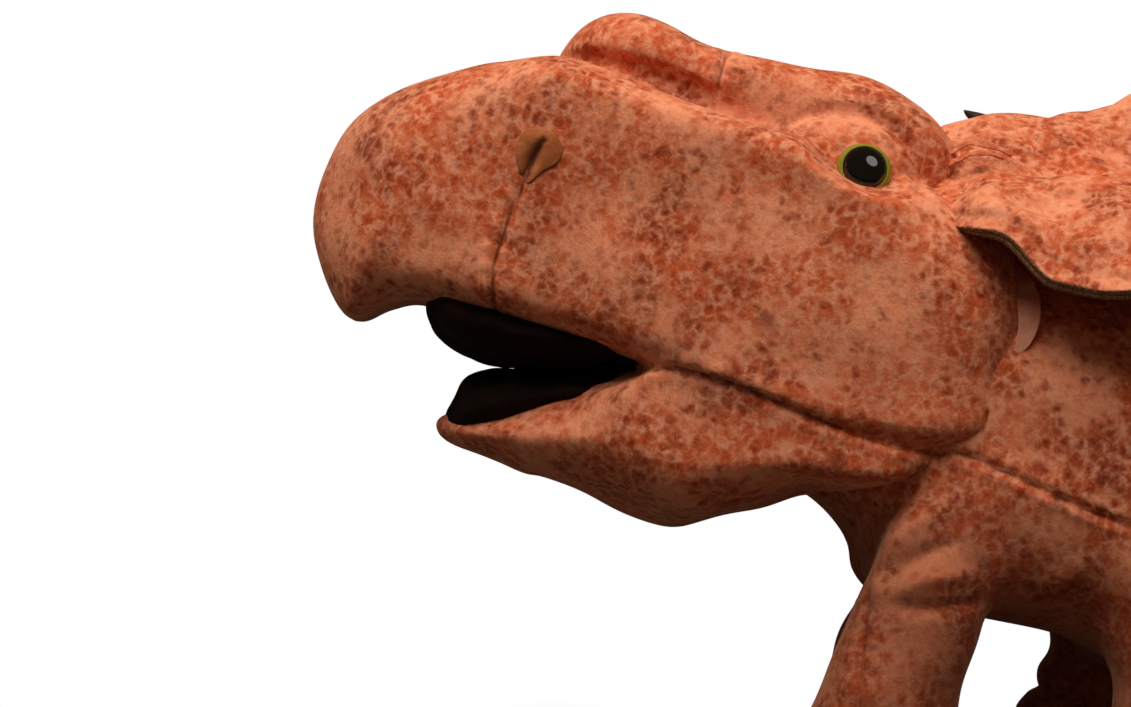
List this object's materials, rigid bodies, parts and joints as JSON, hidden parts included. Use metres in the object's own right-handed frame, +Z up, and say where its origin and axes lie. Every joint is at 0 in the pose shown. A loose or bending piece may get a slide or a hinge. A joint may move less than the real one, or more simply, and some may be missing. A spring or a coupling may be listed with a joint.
{
  "type": "stuffed horned dinosaur",
  "caption": "Four-legged stuffed toy dinosaur in printed pile cloth, with a bossed nose, drooping beak, open mouth, folded-back frill and a tapering tail.",
  "frame": {"origin": "on the floor, in the middle of the toy's length and width", "axes": "+Z up, nose towards -X, the toy's left side towards -Y"},
  "size_m": [0.41, 0.1652, 0.2215],
  "materials": {
    "printed_cloth": "short pile with a mottled terracotta and dark brown print",
    "belly_cloth": "short plain mauve-brown pile",
    "mouth_lining": "black short pile",
    "nostril_cloth": "tan short pile",
    "horn_cloth": "dark brown short pile",
    "filling": "loose white polyester fibre",
    "eye_iris": "glossy olive yellow",
    "eye_pupil": "glossy black",
    "eye_washer": "natural nylon"
  },
  "bodies": {
    "torso": {"torso_filling": "filling", "torso_side_left": "printed_cloth", "torso_side_right": "printed_cloth", "belly_gusset": "belly_cloth"},
    "neck": {"neck_filling": "filling", "neck_gusset": "printed_cloth"},
    "head": {"head_filling": "filling", "head_side_left": "printed_cloth", "head_side_right": "printed_cloth", "boss_cover": "printed_cloth", "boss_filling": "filling", "palate_lining": "mouth_lining", "throat_cover": "printed_cloth", "throat_filling": "filling", "nostril_patch_left": "nostril_cloth", "brow_fold_left": "printed_cloth", "cheek_tab_left": "printed_cloth", "nostril_patch_right": "nostril_cloth", "brow_fold_right": "printed_cloth", "cheek_tab_right": "printed_cloth", "eye_left_iris_cup": "eye_iris", "eye_left_pupil": "eye_pupil", "eye_left_washer": "eye_washer", "eye_right_iris_cup": "eye_iris", "eye_right_pupil": "eye_pupil", "eye_right_washer": "eye_washer"},
    "jaw": {"jaw_filling": "filling", "jaw_cover": "printed_cloth", "jaw_lining": "mouth_lining"},
    "frill": {"frill_batting": "filling", "frill_front_cloth": "printed_cloth", "frill_back_cloth": "printed_cloth", "frill_horn_left": "horn_cloth", "frill_horn_right": "horn_cloth", "frill_point_left_1": "printed_cloth", "frill_point_left_2": "printed_cloth", "frill_point_left_3": "printed_cloth", "frill_point_right_1": "printed_cloth", "frill_point_right_2": "printed_cloth", "frill_point_right_3": "printed_cloth", "frill_ridge_horn_1": "horn_cloth", "frill_ridge_horn_2": "printed_cloth", "frill_ridge_horn_3": "printed_cloth"},
    "foreleg_left": {"foreleg_left_filling": "filling", "foreleg_left_cover": "printed_cloth", "foreleg_left_sole": "belly_cloth"},
    "foreleg_right": {"foreleg_right_filling": "filling", "foreleg_right_cover": "printed_cloth", "foreleg_right_sole": "belly_cloth"},
    "hindleg_left": {"hindleg_left_filling": "filling", "hindleg_left_cover": "printed_cloth", "hindleg_left_sole": "belly_cloth"},
    "hindleg_right": {"hindleg_right_filling": "filling", "hindleg_right_cover": "printed_cloth", "hindleg_right_sole": "belly_cloth"},
    "tail": {"tail_filling": "filling", "tail_cover": "printed_cloth"}
  },
  "joints": [
    {"name": "neck_turn", "type": "hinge", "parent": "torso", "child": "neck", "pos_m": [-0.028, 0, 0.116], "axis": [0, 0, 1], "range_deg": [-8, 8], "stiffness_Nm_per_rad": 1.5},
    {"name": "head_nod", "type": "hinge", "parent": "neck", "child": "head", "pos_m": [-0.028, 0, 0.116], "axis": [0, 1, 0], "range_deg": [-6, 8], "stiffness_Nm_per_rad": 5, "deforming": ["neck_gusset"]},
    {"name": "jaw_open", "type": "hinge", "parent": "head", "child": "jaw", "pos_m": [-0.117, 0, 0.0934], "axis": [0, -1, 0], "range_deg": [-8, 8], "stiffness_Nm_per_rad": 0.5},
    {"name": "frill_flex", "type": "hinge", "parent": "head", "child": "frill", "pos_m": [-0.05, 0, 0.168], "axis": [0, 1, 0], "range_deg": [-8, 8], "stiffness_Nm_per_rad": 1},
    {"name": "tail_sway", "type": "hinge", "parent": "torso", "child": "tail", "pos_m": [0.072, 0, 0.106], "axis": [0, 0, 1], "range_deg": [-12, 12], "stiffness_Nm_per_rad": 0.6},
    {"name": "foreleg_left_swing", "type": "hinge", "parent": "torso", "child": "foreleg_left", "pos_m": [-0.038, -0.036, 0.08], "axis": [0, 1, 0], "range_deg": [-11, 15], "stiffness_Nm_per_rad": 3},
    {"name": "foreleg_right_swing", "type": "hinge", "parent": "torso", "child": "foreleg_right", "pos_m": [-0.032, 0.036, 0.08], "axis": [0, 1, 0], "range_deg": [-4, 15], "stiffness_Nm_per_rad": 3},
    {"name": "hindleg_left_swing", "type": "hinge", "parent": "torso", "child": "hindleg_left", "pos_m": [0.027, -0.038, 0.082], "axis": [0, 1, 0], "range_deg": [-15, 11], "stiffness_Nm_per_rad": 3},
    {"name": "hindleg_right_swing", "type": "hinge", "parent": "torso", "child": "hindleg_right", "pos_m": [0.027, 0.038, 0.082], "axis": [0, 1, 0], "range_deg": [-15, 4], "stiffness_Nm_per_rad": 3}
  ]
}
